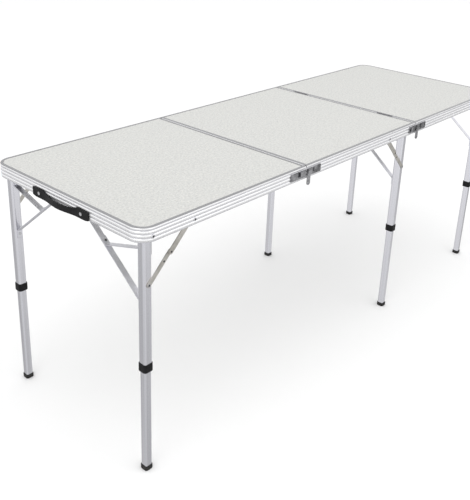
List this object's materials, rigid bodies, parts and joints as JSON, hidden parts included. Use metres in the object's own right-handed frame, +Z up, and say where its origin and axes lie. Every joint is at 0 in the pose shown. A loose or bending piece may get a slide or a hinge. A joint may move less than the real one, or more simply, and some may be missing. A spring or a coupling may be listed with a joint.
{
  "type": "folding table",
  "caption": "Long folding table with a framed panel top that folds in sections, swing-out leg frames with telescopic lower legs and folding braces, and a carrying handle.",
  "frame": {"origin": "on the floor under the middle of the open table", "axes": "+X along the table from the handle end, +Y across it to the far side, +Z up"},
  "size_m": [1.8108, 0.608, 0.7024],
  "materials": {
    "rail_aluminium": "satin",
    "leg_aluminium": "satin",
    "board": "pale laminate, matte",
    "steel": "zinc plated",
    "black_plastic": "matte",
    "foot_rubber": "matte"
  },
  "bodies": {
    "centre_panel": {"centre_near_rail": "rail_aluminium", "centre_far_rail": "rail_aluminium", "centre_joint_rails": "rail_aluminium", "centre_top_board": "board", "centre_rail_rivets": "steel", "centre_left_hinge_leaves": "steel", "centre_right_hinge_leaves": "steel", "hinge_pins": "steel", "centre_latch_keeper": "steel", "centre_latch_base": "steel"},
    "left_panel": {"left_edge_rail": "rail_aluminium", "left_joint_rail": "rail_aluminium", "left_top_board": "board", "left_rail_rivets": "steel", "left_hinge_leaves": "steel", "left_latch_keeper": "steel", "carry_handle": "black_plastic", "handle_rivets": "steel"},
    "right_panel": {"right_edge_rail": "rail_aluminium", "right_joint_rail": "rail_aluminium", "right_top_board": "board", "right_rail_rivets": "steel", "right_hinge_leaves": "steel", "right_latch_base": "steel"},
    "left_lever": {"left_latch_lever": "steel"},
    "right_lever": {"right_latch_lever": "steel"},
    "left_leg_frame": {"left_near_upper_leg": "leg_aluminium", "left_far_upper_leg": "leg_aluminium", "left_leg_collars": "black_plastic", "left_cross_tube": "leg_aluminium", "left_cross_struts": "steel", "left_strut_links": "steel", "left_gussets": "steel"},
    "left_lower_leg_pair": {"left_lower_legs": "leg_aluminium", "left_feet": "foot_rubber"},
    "left_upper_brace_pair": {"left_upper_braces": "steel"},
    "left_lower_brace_pair": {"left_lower_braces": "steel"},
    "centre_leg_frame": {"centre_near_upper_leg": "leg_aluminium", "centre_far_upper_leg": "leg_aluminium", "centre_leg_collars": "black_plastic", "centre_cross_tube": "leg_aluminium", "centre_cross_struts": "steel", "centre_strut_links": "steel", "centre_gussets": "steel"},
    "centre_lower_leg_pair": {"centre_lower_legs": "leg_aluminium", "centre_feet": "foot_rubber"},
    "centre_upper_brace_pair": {"centre_upper_braces": "steel"},
    "centre_lower_brace_pair": {"centre_lower_braces": "steel"},
    "right_leg_frame": {"right_near_upper_leg": "leg_aluminium", "right_far_upper_leg": "leg_aluminium", "right_leg_collars": "black_plastic", "right_cross_tube": "leg_aluminium", "right_cross_struts": "steel", "right_strut_links": "steel", "right_gussets": "steel"},
    "right_lower_leg_pair": {"right_lower_legs": "leg_aluminium", "right_feet": "foot_rubber"},
    "right_upper_brace_pair": {"right_upper_braces": "steel"},
    "right_lower_brace_pair": {"right_lower_braces": "steel"}
  },
  "joints": [
    {"name": "left_panel_fold", "type": "hinge", "parent": "centre_panel", "child": "left_panel", "pos_m": [-0.3, 0, 0.6605], "axis": [0, -1, 0], "range_deg": [0, 155]},
    {"name": "right_panel_fold", "type": "hinge", "parent": "centre_panel", "child": "right_panel", "pos_m": [0.3, 0, 0.7005], "axis": [0, -1, 0], "range_deg": [0, 180]},
    {"name": "left_latch_swing", "type": "hinge", "parent": "centre_panel", "child": "left_lever", "pos_m": [-0.292, -0.303, 0.68], "axis": [0, -1, 0], "range_deg": [-90, 0]},
    {"name": "right_latch_swing", "type": "hinge", "parent": "right_panel", "child": "right_lever", "pos_m": [0.308, -0.303, 0.68], "axis": [0, -1, 0], "range_deg": [-90, 0]},
    {"name": "left_legs_fold", "type": "hinge", "parent": "left_panel", "child": "left_leg_frame", "pos_m": [-0.865, 0, 0.677], "axis": [0, -1, 0], "range_deg": [0, 90]},
    {"name": "left_lower_legs_slide", "type": "slide", "parent": "left_leg_frame", "child": "left_lower_leg_pair", "axis": [0, 0, 1], "range_m": [0, 0.27]},
    {"name": "left_upper_brace_fold", "type": "hinge", "parent": "left_panel", "child": "left_upper_brace_pair", "pos_m": [-0.733, 0, 0.677], "axis": [0, 1, 0], "range_deg": [0, 45]},
    {"name": "left_lower_brace_fold", "type": "hinge", "parent": "left_leg_frame", "child": "left_lower_brace_pair", "pos_m": [-0.865, 0, 0.545], "axis": [0, -1, 0], "range_deg": [0, 45]},
    {"name": "centre_legs_fold", "type": "hinge", "parent": "centre_panel", "child": "centre_leg_frame", "pos_m": [0.272, 0, 0.677], "axis": [0, 1, 0], "range_deg": [0, 90]},
    {"name": "centre_lower_legs_slide", "type": "slide", "parent": "centre_leg_frame", "child": "centre_lower_leg_pair", "axis": [0, 0, 1], "range_m": [0, 0.27]},
    {"name": "centre_upper_brace_fold", "type": "hinge", "parent": "centre_panel", "child": "centre_upper_brace_pair", "pos_m": [0.14, 0, 0.677], "axis": [0, -1, 0], "range_deg": [0, 45]},
    {"name": "centre_lower_brace_fold", "type": "hinge", "parent": "centre_leg_frame", "child": "centre_lower_brace_pair", "pos_m": [0.272, 0, 0.545], "axis": [0, 1, 0], "range_deg": [0, 45]},
    {"name": "right_legs_fold", "type": "hinge", "parent": "right_panel", "child": "right_leg_frame", "pos_m": [0.865, 0, 0.677], "axis": [0, 1, 0], "range_deg": [0, 90]},
    {"name": "right_lower_legs_slide", "type": "slide", "parent": "right_leg_frame", "child": "right_lower_leg_pair", "axis": [0, 0, 1], "range_m": [0, 0.27]},
    {"name": "right_upper_brace_fold", "type": "hinge", "parent": "right_panel", "child": "right_upper_brace_pair", "pos_m": [0.733, 0, 0.677], "axis": [0, -1, 0], "range_deg": [0, 45]},
    {"name": "right_lower_brace_fold", "type": "hinge", "parent": "right_leg_frame", "child": "right_lower_brace_pair", "pos_m": [0.865, 0, 0.545], "axis": [0, 1, 0], "range_deg": [0, 45]}
  ],
  "couplings": [
    {"joint": "left_legs_fold", "follows": "left_panel_fold", "ratio": 0.58064},
    {"joint": "left_lower_legs_slide", "follows": "left_panel_fold", "m_per_rad": 0.0998},
    {"joint": "left_upper_brace_fold", "follows": "left_panel_fold", "ratio": 0.29032},
    {"joint": "left_lower_brace_fold", "follows": "left_panel_fold", "ratio": 0.29032},
    {"joint": "centre_lower_legs_slide", "follows": "centre_legs_fold", "m_per_rad": 0.17188},
    {"joint": "centre_upper_brace_fold", "follows": "centre_legs_fold", "ratio": 0.5},
    {"joint": "centre_lower_brace_fold", "follows": "centre_legs_fold", "ratio": 0.5},
    {"joint": "right_lower_legs_slide", "follows": "right_legs_fold", "m_per_rad": 0.17188},
    {"joint": "right_upper_brace_fold", "follows": "right_legs_fold", "ratio": 0.5},
    {"joint": "right_lower_brace_fold", "follows": "right_legs_fold", "ratio": 0.5}
  ]
}
